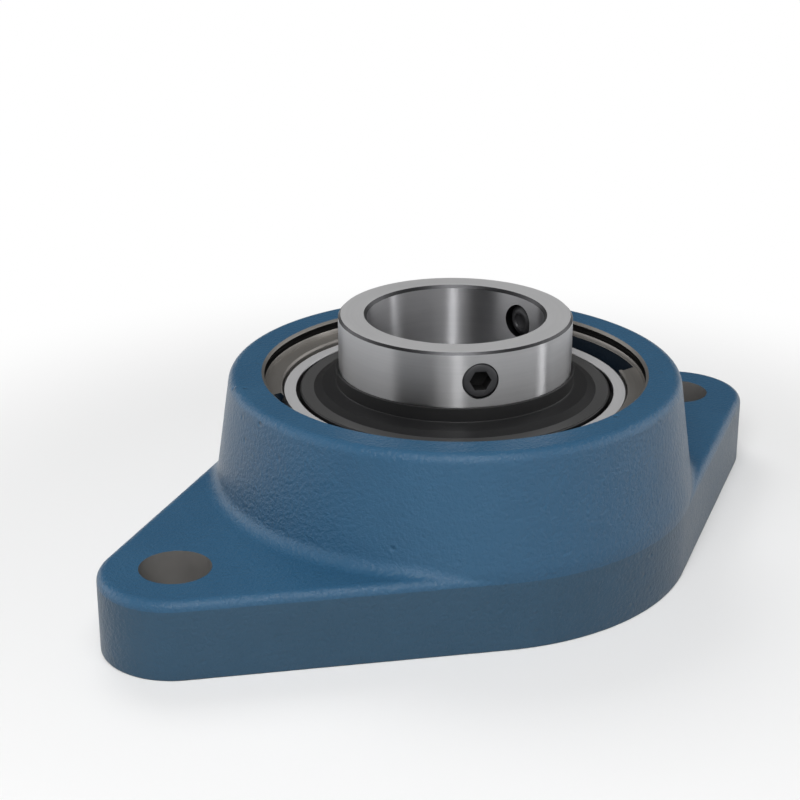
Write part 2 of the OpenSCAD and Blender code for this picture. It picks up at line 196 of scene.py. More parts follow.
def clean(piece: Piece, merge_mm: float = 0.0) -> None:
    """Merge doubled points of a piece, and turn its faces outward.

    Args:
        piece: The piece.
        merge_mm: Points nearer than this are merged, or 0 for none.
    """
    shape = bmesh.new()
    shape.from_mesh(piece.data)
    if merge_mm > 0:
        bmesh.ops.remove_doubles(shape, verts=shape.verts, dist=merge_mm * MM)
    bmesh.ops.recalc_face_normals(shape, faces=shape.faces)
    shape.to_mesh(piece.data)
    shape.free()
    piece.data.update()


def lathe(
    name: str,
    profile: Sequence[Point2],
    materials: Materials,
    around: int,
    slots: Callable[[float, float], int],
) -> Piece:
    """Turn a closed profile around the shaft axis.

    Args:
        name: Name of the piece.
        profile: Radius and height of each point, in millimetres.
        materials: Materials of the piece.
        around: Number of steps around the axis.
        slots: Gives the material number for a face's middle radius and height.

    Returns:
        The turned piece.
    """
    angles = np.arange(around) * 2 * math.pi / around
    rows, numbers = [], []
    for index, (r, z) in enumerate(profile):
        next_r, next_z = profile[(index + 1) % len(profile)]
        rows.append(np.stack([r * np.cos(angles), r * np.sin(angles), np.full(around, z)], axis=1))
        numbers += [slots((r + next_r) / 2, (z + next_z) / 2)] * around
    faces = ring_faces(len(profile), around, True)
    piece = mesh_object(name, np.concatenate(rows), faces, materials, numbers)
    clean(piece)
    return piece


def shaped_solid(
    name: str,
    rows: Sequence[Sequence[Point2]],
    ends: Point2,
    materials: Materials,
    number: int = 0,
) -> Piece:
    """A closed solid about its own +Z whose radius may change around each row.

    Args:
        name: Name of the object.
        rows: Radius and height of each point of each row, in millimetres.
        ends: Heights of the poles that close the first row and the last.
        materials: Material list.
        number: Material number of all its faces.

    Returns:
        The solid.
    """
    touching = 0.00005
    around = len(rows[0])
    angles = np.arange(around) * 2 * math.pi / around
    points = [
        (r * math.cos(a), r * math.sin(a), z) for row in rows for (r, z), a in zip(row, angles)
    ]
    faces = ring_faces(len(rows), around, False)
    first, last = len(points), len(points) + 1
    points += [(0.0, 0.0, height) for height in ends]
    base = (len(rows) - 1) * around
    for step in range(around):
        after = (step + 1) % around
        faces += [(first, step, after), (last, base + after, base + step)]
    piece = mesh_object(name, np.array(points), faces, materials, [number] * len(faces))
    clean(piece, touching)
    return piece


def prism(
    name: str, outline: Sequence[Point2], span: Point2, materials: Materials, number: int
) -> Piece:
    """A straight prism over an outline.

    Args:
        name: Name of the object.
        outline: Corners in millimetres.
        span: Lower and upper height.
        materials: Material list.
        number: Material number of all its faces.

    Returns:
        The prism.
    """
    count = len(outline)
    points = [(x, y, z) for z in span for x, y in outline]
    faces: list[Sequence[int]] = [list(range(count)), list(range(2 * count - 1, count - 1, -1))]
    faces += [(i, i + count, (i + 1) % count + count, (i + 1) % count) for i in range(count)]
    piece = mesh_object(name, np.array(points), faces, materials, [number] * len(faces))
    clean(piece)
    return piece


def cut(piece: Piece, cutters: Sequence[Piece]) -> None:
    """Cut other closed meshes out of a piece, and remove them.

    Args:
        piece: The piece that is cut.
        cutters: Closed meshes that are taken away, with their own material numbers.
    """
    for cutter in cutters:
        modifier = piece.modifiers.new("cut", "BOOLEAN")
        modifier.operation = "DIFFERENCE"
        modifier.solver = "EXACT"
        modifier.material_mode = "INDEX"
        modifier.object = cutter
    bpy.context.view_layer.update()
    graph = bpy.context.evaluated_depsgraph_get()
    result = bpy.data.meshes.new_from_object(piece.evaluated_get(graph))
    piece.modifiers.clear()
    piece.data = result
    for cutter in cutters:
        bpy.data.objects.remove(cutter)


def sharpen(piece: Piece, degrees: float) -> None:
    """Mark edges sharper than an angle as sharp."""
    piece.data.set_sharp_from_angle(angle=math.radians(degrees))


def weigh_normals(piece: Piece) -> None:
    """Let large faces rule the shading, so that flats stay flat beside small roundings."""
    modifier = piece.modifiers.new("flat_shading", "WEIGHTED_NORMAL")
    modifier.weight, modifier.keep_sharp = FACE_WEIGHT, True


def settle(piece: Piece, degrees: float) -> None:
    """Weld a piece after its cuts, and set how its edges are shaded.

    Args:
        piece: The piece.
        degrees: Edges sharper than this angle stay sharp.
    """
    clean(piece, WELD)
    sharpen(piece, degrees)
    weigh_normals(piece)


def place(piece: Piece, body: str, slot: str, *nodes: str) -> Piece:
    """Let a piece ride on a body and stand for its nodes.

    Args:
        piece: The piece.
        body: Body that carries it.
        slot: Name of a material slot; not used.
        *nodes: Nodes of the frame that it takes the place of.

    Returns:
        The same piece.
    """
    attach(piece, body)
    if nodes:
        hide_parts(*nodes)
    return piece


# Shader helpers


class Shader:
    """A small builder around one node tree."""

    MIX_FIRST, MIX_SECOND, MIX_RESULT = 6, 7, 2  # colour sockets of a Mix node

    def __init__(self, tree: Tree) -> None:
        """Start on a node tree."""
        self.tree = tree

    def fill(self, node: Node, values: dict[object, object]) -> None:
        """Set the inputs of a node, or join them to other sockets.

        Args:
            node: The node.
            values: Value or socket of each input, by its name or number.
        """
        for key, value in values.items():
            if isinstance(value, Socket):
                self.tree.links.new(value, node.inputs[key])
            else:
                node.inputs[key].default_value = value

    def node(self, kind: str, values: Optional[dict] = None, **settings: object) -> Node:
        """Add a node.

        Args:
            kind: Type of the node.
            values: Value or socket of some of its inputs.
            **settings: Properties of the node.

        Returns:
            The node.
        """
        made = self.tree.nodes.new(kind)
        for key, value in settings.items():
            setattr(made, key, value)
        self.fill(made, values or {})
        return made

    def where(self) -> Socket:
        """Object coordinates of the surface."""
        return self.node("ShaderNodeTexCoord").outputs["Object"]

    def math(self, operation: str, *values: object) -> Socket:
        """Result of a math node."""
        return self.node("ShaderNodeMath", dict(enumerate(values)), operation=operation).outputs[0]

    def blend(self, first: Socket, second: Socket, share: float) -> Socket:
        """Sum of two values, the first taken by a share and the second by the rest."""
        return self.math("MULTIPLY_ADD", first, share, self.math("MULTIPLY", second, 1 - share))

    def smooth(self, value: Socket, low: float, high: float) -> Socket:
        """Rise smoothly from 0 at low to 1 at high."""
        values = {"Value": value, "From Min": low, "From Max": high}
        return self.node("ShaderNodeMapRange", values, interpolation_type="SMOOTHSTEP").outputs[0]

    def noise(self, where: Socket, scale: object, detail: float, roughness: float = 0.5) -> Socket:
        """Value of a noise texture."""
        values = {"Vector": where, "Scale": scale, "Detail": detail, "Roughness": roughness}
        return self.node("ShaderNodeTexNoise", values).outputs[0]

    def mix(self, factor: Socket, first: Sequence[float], second: Sequence[float]) -> Socket:
        """Mix of two colours."""
        values = {0: factor, self.MIX_FIRST: first, self.MIX_SECOND: second}
        return self.node("ShaderNodeMix", values, data_type="RGBA").outputs[self.MIX_RESULT]

    def group(self, tree: Tree, **values: float) -> Node:
        """Place a node group and set its inputs."""
        return self.node("ShaderNodeGroup", values, node_tree=tree)


def new_group(
    name: str, inputs: dict[str, float], outputs: Sequence[str]
) -> tuple[Shader, bpy.types.NodeOutputs, Node]:
    """Start a shader node group with number inputs and outputs.

    Args:
        name: Name of the group.
        inputs: Name and default value of each input.
        outputs: Name of each output.

    Returns:
        The builder, the sockets that bring the inputs, and the node that takes the outputs.
    """
    kind = "NodeSocketFloat"
    tree = bpy.data.node_groups.new(name, "ShaderNodeTree")
    for key, value in inputs.items():
        socket = tree.interface.new_socket(name=key, in_out="INPUT", socket_type=kind)
        socket.default_value = value
    for key in outputs:
        tree.interface.new_socket(name=key, in_out="OUTPUT", socket_type=kind)
    shader = Shader(tree)
    return shader, shader.node("NodeGroupInput").outputs, shader.node("NodeGroupOutput")


def cast_skin_group() -> Tree:
    """Skin of a painted sand casting: soft waves, fine grain and rare pits.

    Returns:
        The group, which gives a height and a tone.
    """
    pit_scale, pit_reach, patch_scale, patch_rise = 330.0, 0.22, 95.0, (0.55, 0.72)
    grain_height, wave_height = 0.9, 0.35
    shader, given, leave = new_group(
        "cast_skin", {"Grain": 1500.0, "Wave": 320.0, "Pits": 1.0}, ("Height", "Tone")
    )
    where = shader.where()
    grain = shader.noise(where, given["Grain"], detail=3.0, roughness=0.6)
    wave = shader.noise(where, given["Wave"], detail=2.0)
    spots = shader.node("ShaderNodeTexVoronoi", {"Vector": where, "Scale": pit_scale}, feature="F1")
    pit = shader.math("SUBTRACT", 1.0, shader.smooth(spots.outputs["Distance"], 0.0, pit_reach))
    rare = shader.smooth(shader.noise(where, patch_scale, detail=1.0), *patch_rise)
    pit = shader.math("MULTIPLY", shader.math("MULTIPLY", pit, rare), given["Pits"])
    waves = shader.math("MULTIPLY", wave, wave_height)
    height = shader.math("MULTIPLY_ADD", grain, grain_height, waves)
    shader.fill(leave, {
        "Height": shader.math("SUBTRACT", height, pit),
        "Tone": shader.blend(wave, grain, share=0.5),
    })
    return shader.tree


def turning_group() -> Tree:
    """Fine marks that run around the shaft axis, as a lathe or grinder leaves them.

    Returns:
        The group, which gives a height and a tone.
    """
    fine_share = 0.45
    shader, given, leave = new_group(
        "turning_marks", {"Fine": 9000.0, "Coarse": 1500.0}, ("Height", "Tone")
    )
    x, y, z = shader.node("ShaderNodeSeparateXYZ", {0: shader.where()}).outputs
    radius = shader.math("SQRT", shader.math("MULTIPLY_ADD", x, x, shader.math("MULTIPLY", y, y)))
    swing = shader.math("COSINE", shader.math("ARCTAN2", y, x))
    marks = []
    for key, turn in (("Fine", 2.0), ("Coarse", 0.8)):
        values = {
            0: shader.math("MULTIPLY", radius, given[key]),
            1: shader.math("MULTIPLY", z, given[key]),
            2: shader.math("MULTIPLY", swing, turn),
        }
        at = shader.node("ShaderNodeCombineXYZ", values).outputs[0]
        marks.append(shader.noise(at, 1.0, detail=2.0, roughness=0.6))
    shader.fill(leave, {"Height": marks[0], "Tone": shader.blend(*marks, fine_share)})
    return shader.tree


def mottle_group() -> Tree:
    """Slow uneven colour, as oil, handling and dust leave on any surface.

    Returns:
        The group, which gives a mask.
    """
    shader, given, leave = new_group("mottle", {"Size": 60.0, "Contrast": 1.0}, ("Mask",))
    middle = 0.5
    clouds = shader.noise(shader.where(), given["Size"], detail=4.0, roughness=0.55)
    value = shader.math("SUBTRACT", shader.smooth(clouds, low=0.3, high=0.7), middle)
    spread = shader.math("MULTIPLY", value, given["Contrast"])
    shader.fill(leave, {"Mask": shader.math("ADD", spread, middle)})
    return shader.tree


# Finishes


class Mark(Enum):
    """Surface marks: their node group, its inputs and their share in the tone."""

    CAST = ("cast_skin", {}, 0.6)
    TURNED = ("turning_marks", {}, 0.8)
    PLAIN = ("cast_skin", {"Grain": 2500.0, "Wave": 500.0, "Pits": 0.0}, 0.0)


@dataclass(frozen=True)
class Finish:
    """One finish: its colours, gloss and the marks of how it was made.

    Attributes:
        name: Name of the material.
        low: Darker display colour of its slow variation.
        high: Lighter display colour of its slow variation.
        metallic: 1 for bare metal, 0 for paint, rubber and plastic.
        roughness: Lowest and highest roughness.
        mark: Kind of surface marks.
        bump_mm: Depth of the marks in millimetres.
        specular: Specular level.
        anisotropic: Stretch of highlights across the marks.
    """

    name: str
    low: tuple[int, int, int]
    high: tuple[int, int, int]
    metallic: float
    roughness: Point2
    mark: Mark
    bump_mm: float
    specular: float = 0.5
    anisotropic: float = 0.0

    def build(self, groups: dict[str, Tree]) -> Material:
        """Make the material.

        Args:
            groups: The shared node groups by name.

        Returns:
            The finished material.
        """
        material = bpy.data.materials.new(self.name)
        material.use_nodes = True
        shader = Shader(material.node_tree)
        kind, inputs, share = self.mark.value
        marks = shader.group(groups[kind], **inputs).outputs
        mottle = shader.group(groups["mottle"]).outputs["Mask"]
        tone = shader.blend(marks["Tone"], mottle, share)
        smoothest, roughest = self.roughness
        relief = {"Strength": 1.0, "Distance": self.bump_mm * MM, "Height": marks["Height"]}
        values = {
            "Base Color": shader.mix(tone, linear(self.low), linear(self.high)),
            "Roughness": shader.math("MULTIPLY_ADD", tone, roughest - smoothest, smoothest),
            "Metallic": self.metallic,
            "Specular IOR Level": self.specular,
            "Anisotropic": self.anisotropic,
            "Normal": shader.node("ShaderNodeBump", relief).outputs["Normal"],
        }
        if self.anisotropic > 0:
            tangent = shader.node("ShaderNodeTangent", direction_type="RADIAL", axis="Z")
            values["Tangent"] = tangent.outputs["Tangent"]
            values["Anisotropic Rotation"] = ALONG_MARKS
        shader.fill(material.node_tree.nodes["Principled BSDF"], values)
        return material


FINISHES = (
    Finish("blue_paint", (42, 82, 112), (48, 89, 119), 0.0, (0.28, 0.38), Mark.CAST, 0.26, 0.33),
    # The flange walls' finish is the blue paint made darker and greyer: painted shade, where less
    # light falls than on the boss.
    Finish("blue_paint_shaded_side", (44, 74, 96), (50, 81, 104), 0.0, (0.32, 0.42), Mark.CAST, 0.24, 0.33),
    # The loading slots' finish is the blue paint darkened to navy: painted shade in the slots'
    # recesses.
    Finish("slot_painted_shade", (10, 22, 34), (16, 30, 42), 0.0, (0.5, 0.6), Mark.CAST, 0.08, 0.3),
    Finish("machined_iron", (122, 119, 115), (168, 164, 159), 0.75, (0.38, 0.5), Mark.TURNED, 0.006,
           anisotropic=0.6),
    Finish("drilled_iron", (114, 112, 110), (138, 136, 133), 0.5, (0.5, 0.62), Mark.PLAIN, 0.004),
    Finish("groove_shadow", (10, 10, 10), (16, 16, 16), 0.1, (0.6, 0.7), Mark.PLAIN, 0.004, 0.2),
    Finish("ground_steel", (160, 160, 162), (184, 184, 185), 1.0, (0.28, 0.33), Mark.TURNED, 0.0012,
           anisotropic=1.0),
    Finish("honed_bore", (160, 160, 163), (186, 186, 188), 1.0, (0.36, 0.41), Mark.TURNED, 0.0012,
           anisotropic=1.0),
    Finish("ground_face", (196, 196, 197), (214, 214, 215), 0.5, (0.42, 0.5), Mark.TURNED, 0.003),
    Finish("chamfer_steel", (66, 66, 68), (86, 86, 88), 1.0, (0.3, 0.4), Mark.TURNED, 0.002),
    Finish("flinger_rubber", (18, 18, 19), (26, 26, 27), 0.0, (0.38, 0.5), Mark.TURNED, 0.004, 0.4),
    # A lighter grey for the flinger's outer flat: a painted reflection on the rubber.
    Finish("flinger_painted_sheen", (56, 56, 56), (72, 72, 72), 0.0, (0.35, 0.45), Mark.TURNED, 0.004),
    Finish("seal_rubber", (20, 20, 21), (28, 28, 29), 0.0, (0.5, 0.6), Mark.PLAIN, 0.01, 0.4),
    Finish("black_oxide", (54, 54, 56), (72, 72, 74), 0.7, (0.38, 0.5), Mark.PLAIN, 0.004),
    Finish("ball_steel", (205, 205, 208), (222, 222, 224), 1.0, (0.08, 0.14), Mark.PLAIN, 0.0005),
    Finish("cage_nylon", (196, 180, 146), (214, 199, 166), 0.0, (0.4, 0.5), Mark.PLAIN, 0.006),
    Finish("zinc_plate", (168, 168, 162), (196, 196, 190), 1.0, (0.28, 0.38), Mark.PLAIN, 0.002),
)


def make_finishes() -> Finishes:
    """Make the shared groups and every material.

    Returns:
        The materials by name.
    """
    groups = {tree.name: tree for tree in (cast_skin_group(), turning_group(), mottle_group())}
    return {finish.name: finish.build(groups) for finish in FINISHES}


# Housing


class Skin(IntEnum):
    """Finishes of the housing, by their place in its material list."""

    BLUE_PAINT = 0
    MACHINED_IRON = 1
    GROOVE_SHADOW = 2
    # The slot and side finishes are darker copies of the blue paint: painted shade.
    SLOT_PAINTED_SHADE = 3
    DRILLED_IRON = 4
    BLUE_PAINT_SHADED_SIDE = 5


@dataclass
class Housing:
    """Cast housing: diamond flange, drafted boss, turned bore, loading slots and bolt holes.

    All sizes are in millimetres and repeat those of the part's source. Rows of points in close
    pairs keep the edges between them crisp.
    """

    finishes: Finishes
    mid_r: float = 41.25
    end_x: float = 58.25
    end_r: float = 12.25
    flange_z: float = 13.3
    edge: float = 1.5
    wall_rows: Numbers = (6.0, 2.0, 0.35)
    wall_end: Points = ((0.12, 0.08), (0.3, 0.0))
    shaded_side_rows: int = 4
    base_shares: Numbers = (0.6, 0.25, 0.06)
    rim_z: float = 32.5
    rim_fillet: float = 1.75
    rim_flat: Point2 = (1.6, 0.15)
    boss_top_r: float = 38.45
    boss_rows: Numbers = (30.8, 30.0, 28.0, 26.0, 24.0, 22.0, 20.0, 18.0)
    foot: float = 2.5
    foot_span: Point2 = (17.5, 10.0)
    foot_steps: int = 24
    edge_steps: int = 60
    bolt_r: float = 5.75
    slot_half: float = 15.1
    slot_start: float = 26.0
    slot_top: float = 29.8
    recess_r: float = 30.5
    recess_chamfer: float = 1.0
    bore_half: float = 9.5
    ditch_half: float = 1.5
    ditch_depth: float = 0.8
    land_r: float = 32.4
    groove_span: Point2 = (30.75, 32.0)
    groove_depth: float = 0.9
    spot_face: tuple[float, float, float] = (4.5, 0.0, 8.0)
    nipple_hole: tuple[float, float, float] = (3.0, -5.8, 1.0)
    grease_way: tuple[float, float, float] = (1.25, -10.5, 0.0)
    around: int = 720
    rim_steps: int = 12
    slot_steps: int = 48
    bolt_steps: int = 96
    way_steps: int = 64
    crease: float = 40.0

    @property
    def draft(self) -> float:
        """Draft angle of the boss in radians."""
        return math.atan((self.mid_r - self.boss_top_r) / (self.rim_z - self.flange_z))

    @property
    def side(self) -> float:
        """Angle from the bolt line to the normal of a straight side, in radians."""
        return math.acos((self.mid_r - self.end_r) / self.end_x)

    def cone_r(self, z: float) -> float:
        """Radius of the drafted wall at a height."""
        return self.mid_r - (z - self.flange_z) * math.tan(self.draft)

    def plan_r(self, angle: float, inset: float) -> float:
        """Distance from the shaft axis to the flange's outline, drawn in by an inset.

        Args:
            angle: Direction from the bolt line, in radians, in the first quarter.
            inset: Distance inward from the outline.

        Returns:
            The distance along that direction.
        """
        if angle >= self.side:
            return self.mid_r - inset
        nx, ny = math.cos(self.side), math.sin(self.side)
        c, s = math.cos(angle), math.sin(angle)
        end = self.end_r - inset
        if angle > math.atan2(end * ny, self.end_x + end * nx):
            return (self.mid_r - inset) / (c * nx + s * ny)
        return self.end_x * c + math.sqrt(max(0.0, end * end - (self.end_x * s) ** 2))

    def edge_point(self, angle: float, turn: float) -> Point2:
        """Point on the rounded edge of the flange at a turn of 0 (wall) to 90 degrees (top)."""
        inset = self.edge * (1 - math.cos(turn))
        return self.plan_r(angle, inset), self.flange_z - self.edge * (1 - math.sin(turn))

    def ball_r(self, z: float) -> float:
        """Distance from the axis of a ball of the foot's radius that touches the boss.

        Args:
            z: Height of the ball's middle.

        Returns:
            The distance of its middle.
        """
        over = z - self.flange_z
        if over <= 0:
            return self.mid_r + self.foot
        if over <= self.foot * math.sin(self.draft):
            return self.mid_r + math.sqrt(self.foot**2 - over**2)
        return self.mid_r - over * math.tan(self.draft) + self.foot / math.cos(self.draft)

    def edge_gaps(self, rim: np.ndarray, z: float) -> np.ndarray:
        """Distances from the ball's middle at a height to the points of the rounded edge."""
        return np.hypot(rim[:, 0] - self.ball_r(z), rim[:, 1] - z)

    def rest_ball(self, rim: np.ndarray) -> tuple[float, Optional[int]]:
        """Let the ball down beside the boss until it rests on the flange.

        Args:
            rim: Points of the rounded edge, from the wall to the flat.

        Returns:
            Height of the ball's middle, and the point of the edge that it rests on, or None on
            the flat.
        """
        low, high = self.flange_z - self.edge, self.flange_z + self.foot
        if self.ball_r(high) <= rim[-1, 0]:
            return high, None
        halvings = 40
        for _ in range(halvings):
            middle = (low + high) / 2
            if self.edge_gaps(rim, middle).min() < self.foot:
                low = middle
            else:
                high = middle
        height = (low + high) / 2
        return height, int(self.edge_gaps(rim, height).argmin())

    def foot_start(self, centre: Point2) -> tuple[list[Point2], float]:
        """Where the foot leaves the boss.

        Args:
            centre: Middle of the ball.

        Returns:
            The points up to the foot, and the angle on the ball at which it begins.
        """
        over = centre[1] - self.flange_z
        corner = (self.mid_r, self.flange_z)
        if over <= 0:
            return [corner, (self.mid_r, centre[1])], math.pi
        if over <= self.foot * math.sin(self.draft):
            return [corner], math.pi + math.asin(over / self.foot)
        first = math.degrees(math.pi + self.draft)
        return arc(centre, self.foot, first, first, 1)[:1], math.pi + self.draft

    def foot_profile(self, angle: float) -> tuple[np.ndarray, list[float]]:
        """Profile from the drafted wall down to the flange's wall in one direction.

        A ball of the foot's radius rolls in the corner between the boss and the flange. Where the
        flat of the flange runs out, it rests on the rounded edge instead.

        Args:
            angle: Direction from the bolt line, in radians, in the first quarter.

        Returns:
            The points of the profile, and the lengths along it at which the foot begins, the foot
            ends, the rounded edge begins and the rounded edge ends.
        """
        start_z, end_z = self.foot_span
        top = (self.cone_r(start_z), start_z)
        if angle >= self.side:
            heights = (self.flange_z, self.flange_z - self.edge, end_z)
            points = [top] + [(self.mid_r, z) for z in heights]
            marks = [2, 2, 2, 2]
        else:
            turns = np.radians(np.linspace(0, 90, self.edge_steps + 1))
            rim = np.array([self.edge_point(angle, float(t)) for t in turns])
            height, touch = self.rest_ball(rim)
            centre = (self.ball_r(height), height)
            lead, first = self.foot_start(centre)
            last = 1.5 * math.pi
            if touch is not None:
                reach = rim[touch] - centre
                last = math.atan2(reach[1], reach[0]) % (2 * math.pi)
            points = [top, *lead]
            marks = [len(points) - 1]
            first, last = math.degrees(first), math.degrees(last)
            points += arc(centre, self.foot, first, last, self.foot_steps)[1:]
            marks.append(len(points) - 1)
            if touch is None:
                touch = self.edge_steps
                points.append(tuple(rim[touch]))
            marks.append(len(points) - 1)
            points += [tuple(point) for point in rim[:touch][::-1]]
            marks.append(len(points) - 1)
            points.append((rim[0, 0], end_z))
        line = np.array(points)
        length = np.concatenate([[0.0], np.cumsum(np.hypot(*np.diff(line, axis=0).T))])
        return np.column_stack([line, length]), [float(length[mark]) for mark in marks]

    def foot_rows(self, angle: float) -> np.ndarray:
        """Evenly numbered points of the foot's profile in one direction.

        Args:
            angle: Direction from the bolt line, in radians, in the first quarter.

        Returns:
            Radius and height of each row's point.
        """
        least = (0.3, 0.2, 0.3)
        least_first, least_last = 1.0, 0.6
        flat = np.array([0.0, 0.015, 0.06, 0.16, 0.32, 0.5, 0.68, 0.84, 0.94, 0.985])
        boss, foot, edge, wall = (np.linspace(0, 1, n, endpoint=False) for n in (9, 10, 9, 3))
        line, marks = self.foot_profile(angle)
        total = line[-1, 2]
        marks[3] = min(max(marks[3], least_first), total - least_last)
        for index in (2, 1, 0):
            marks[index] = min(marks[index], marks[index + 1] - least[index])
        stops = [0.0, *marks, total]
        lengths = np.concatenate([
            low + shares * (high - low)
            for shares, low, high in zip((boss, foot, flat, edge, wall), stops, stops[1:])
        ] + [[total]])
        return np.column_stack([np.interp(lengths, line[:, 2], line[:, i]) for i in (0, 1)])

    def seat_points(self, start: float, end: float, count: int) -> list[Point2]:
        """Points on the spherical seat from one height to another."""
        heights = np.linspace(start, end, count)
        return [(math.sqrt(SEAT_R**2 - (z - MIDDLE_Z) ** 2), float(z)) for z in heights]

    def bore_rows(self) -> list[tuple[float, float, Skin]]:
        """Rows of the bore from the mounting face up to the rim.

        Returns:
            Radius, height and finish of each row.
        """
        recess, land, half, chamfer = self.recess_r, self.land_r, self.bore_half, self.recess_chamfer
        low, high = MIDDLE_Z - half, MIDDLE_Z + half
        ditch_low, ditch_high = GREASE_Z - self.ditch_half, GREASE_Z + self.ditch_half
        ditch_r = SEAT_R + self.ditch_depth
        floor, roof = self.groove_span
        groove = land + self.groove_depth
        edge_r = math.sqrt(SEAT_R**2 - half * half)
        shoulder = high + 0.3
        iron = [
            (recess + chamfer, 0.0), (recess + chamfer / 2, chamfer / 2), (recess, chamfer),
            (recess, 1.2), (recess, low - 0.1), (recess, low), (edge_r + 0.1, low),
            (edge_r, low + 0.03), *self.seat_points(low + 0.4, ditch_low, 5),
            (ditch_r, ditch_low), (ditch_r, ditch_high), *self.seat_points(ditch_high, high, 15),
            (edge_r + 0.3, shoulder), (edge_r + 0.4, shoulder), (land - 0.08, shoulder),
            (land, shoulder + 0.05), (land, floor - 0.07),
        ]
        shadow = [
            (land + 0.05, floor), (groove - 0.1, floor), (groove, floor + 0.1),
            (groove, roof - 0.1), (groove - 0.1, roof), (land + 0.15, roof),
        ]
        mouth = [(land + 0.1, roof + 0.03)]
        lip = [(land + 0.57, self.rim_z - 0.04), (land + 0.64, self.rim_z)]
        dressed = (
            (Skin.MACHINED_IRON, iron), (Skin.GROOVE_SHADOW, shadow),
            (Skin.MACHINED_IRON, mouth), (Skin.BLUE_PAINT, lip),
        )
        return [(r, z, skin) for skin, points in dressed for r, z in points]

    def boss_points(self) -> list[Point2]:
        """Points from the rim over its rounded edge and down the drafted wall.

        Returns:
            Radius and height of each point.
        """
        centre_z = self.rim_z - self.rim_fillet
        centre_r = self.cone_r(centre_z) - self.rim_fillet / math.cos(self.draft)
        ends = (90, math.degrees(self.draft))
        points = [(centre_r - inset, self.rim_z) for inset in self.rim_flat]
        points += arc((centre_r, centre_z), self.rim_fillet, *ends, self.rim_steps)
        return points + [(self.cone_r(z), z) for z in self.boss_rows]

    def build(self) -> Piece:
        """Build, cut and dress the housing.

        Returns:
            The housing.
        """
        angles = (np.arange(self.around) + 0.5) * 2 * math.pi / self.around
        quarter = np.arctan2(np.abs(np.sin(angles)), np.abs(np.cos(angles)))
        values, which = np.unique(np.round(quarter, 9), return_inverse=True)
        foot = np.stack([self.foot_rows(float(value)) for value in values], axis=1)[:, which]
        wall = foot[-1][:, 0]
        base = self.recess_r + self.recess_chamfer
        rows = self.bore_rows() + [(r, z, Skin.BLUE_PAINT) for r, z in self.boss_points()]
        for index, line in enumerate(foot):
            # The last rows, down the flange's walls, take the darker, greyer paint, which is painted
            # shade.
            in_side_shade = index >= len(foot) - self.shaded_side_rows
            skin = Skin.BLUE_PAINT_SHADED_SIDE if in_side_shade else Skin.BLUE_PAINT
            rows.append((line[:, 0], line[:, 1], skin))
        rows += [(wall, z, Skin.BLUE_PAINT_SHADED_SIDE) for z in self.wall_rows]
        rows += [(wall - inset, z, Skin.MACHINED_IRON) for inset, z in self.wall_end]
        for share in self.base_shares:
            rows.append((base + share * (wall - base), 0.0, Skin.MACHINED_IRON))
        points = np.concatenate([
            np.stack([r * np.cos(angles), r * np.sin(angles), np.full(self.around, z)], axis=1)
            for r, z, _ in rows
        ])
        slots = [skin for _, _, skin in rows for _ in range(self.around)]
        materials = [self.finishes[skin.name.lower()] for skin in Skin]
        faces = ring_faces(len(rows), self.around, True)
        piece = mesh_object("housing_casting", points, faces, materials, slots)
        clean(piece)
        cut(piece, self.cutters(materials))
        settle(piece, self.crease)
        return place(piece, "housing", "cast_paint", "housing")

    def cutters(self, materials: Materials) -> list[Piece]:
        """Closed meshes for the loading slots, the bolt holes and the grease way.

        Args:
            materials: Material list of the housing, so that numbers agree.

        Returns:
            The cutters.
        """
        made = []
        axis, half, start = (0.0, 0.0), self.slot_half, self.slot_start
        reach = math.degrees(math.asin(half / self.land_r))
        bow = arc(axis, self.land_r, -reach, reach, self.slot_steps)
        slot = [(start, -half), *bow, (start, half)]
        bolt_span, slot_span = (-1.0, self.flange_z + 1), (MIDDLE_Z, self.slot_top)
        for sign in (-1, 1):
            outline = [(sign * x, y) for x, y in slot]
            # The slots' faces take the navy paint, which is painted shade.
            made.append(prism("slot_cutter", outline, slot_span, materials, Skin.SLOT_PAINTED_SHADE))
            circle = arc((sign * self.end_x, 0.0), self.bolt_r, 0, 360, self.bolt_steps)[:-1]
            made.append(prism("bolt_cutter", circle, bolt_span, materials, Skin.DRILLED_IRON))
        for radius, low, high in (self.spot_face, self.nipple_hole, self.grease_way):
            circle = arc(axis, radius, 0, 360, self.way_steps)[:-1]
            made.append(prism("grease_cutter", circle, (low, high), materials, Skin.DRILLED_IRON))
            made[-1].data.transform(nipple_frame())
        return made


def nipple_frame() -> Matrix:
    """Place of the grease nipple.

    Returns:
        Frame with its origin on the spot face and its +Z outward along the nipple's axis.
    """
    tilt = math.radians(NIPPLE_TILT)
    height = GREASE_Z + (NIPPLE_R - SEAT_R) * math.tan(tilt)
    turn = Matrix.Rotation(tilt - math.pi / 2, 4, "X")
    return Matrix.Translation(Vector((0.0, NIPPLE_R * MM, height * MM))) @ turn


# Insert bearing


def radial_frame(turn: float, height: float) -> Matrix:
    """Frame whose +Z runs outward from the shaft axis at a turn in degrees and a height."""
    about = Matrix.Rotation(math.radians(turn), 4, "Z") @ Matrix.Rotation(math.pi / 2, 4, "Y")
    return Matrix.Translation(Vector((0, 0, height * MM))) @ about


def drill(
    profile: Sequence[Point2], at: Point2, materials: Materials, around: int, number: int = 0
) -> Piece:
    """A turned cutter on a line that runs outward from the shaft axis.

    Args:
        profile: Radius and distance of each point, in millimetres, the first and last on the line.
        at: Turn of the line in degrees, and its height.
        materials: Material list of the piece that it cuts.
        around: Number of steps around the line.
        number: Material number of the cut.

    Returns:
        The cutter.
    """
    rows = [[point] * around for point in profile[1:-1]]
    ends = (profile[0][1], profile[-1][1])
    cutter = shaped_solid("drill", rows, ends, materials, number)
    cutter.data.transform(radial_frame(*at))
    return cutter


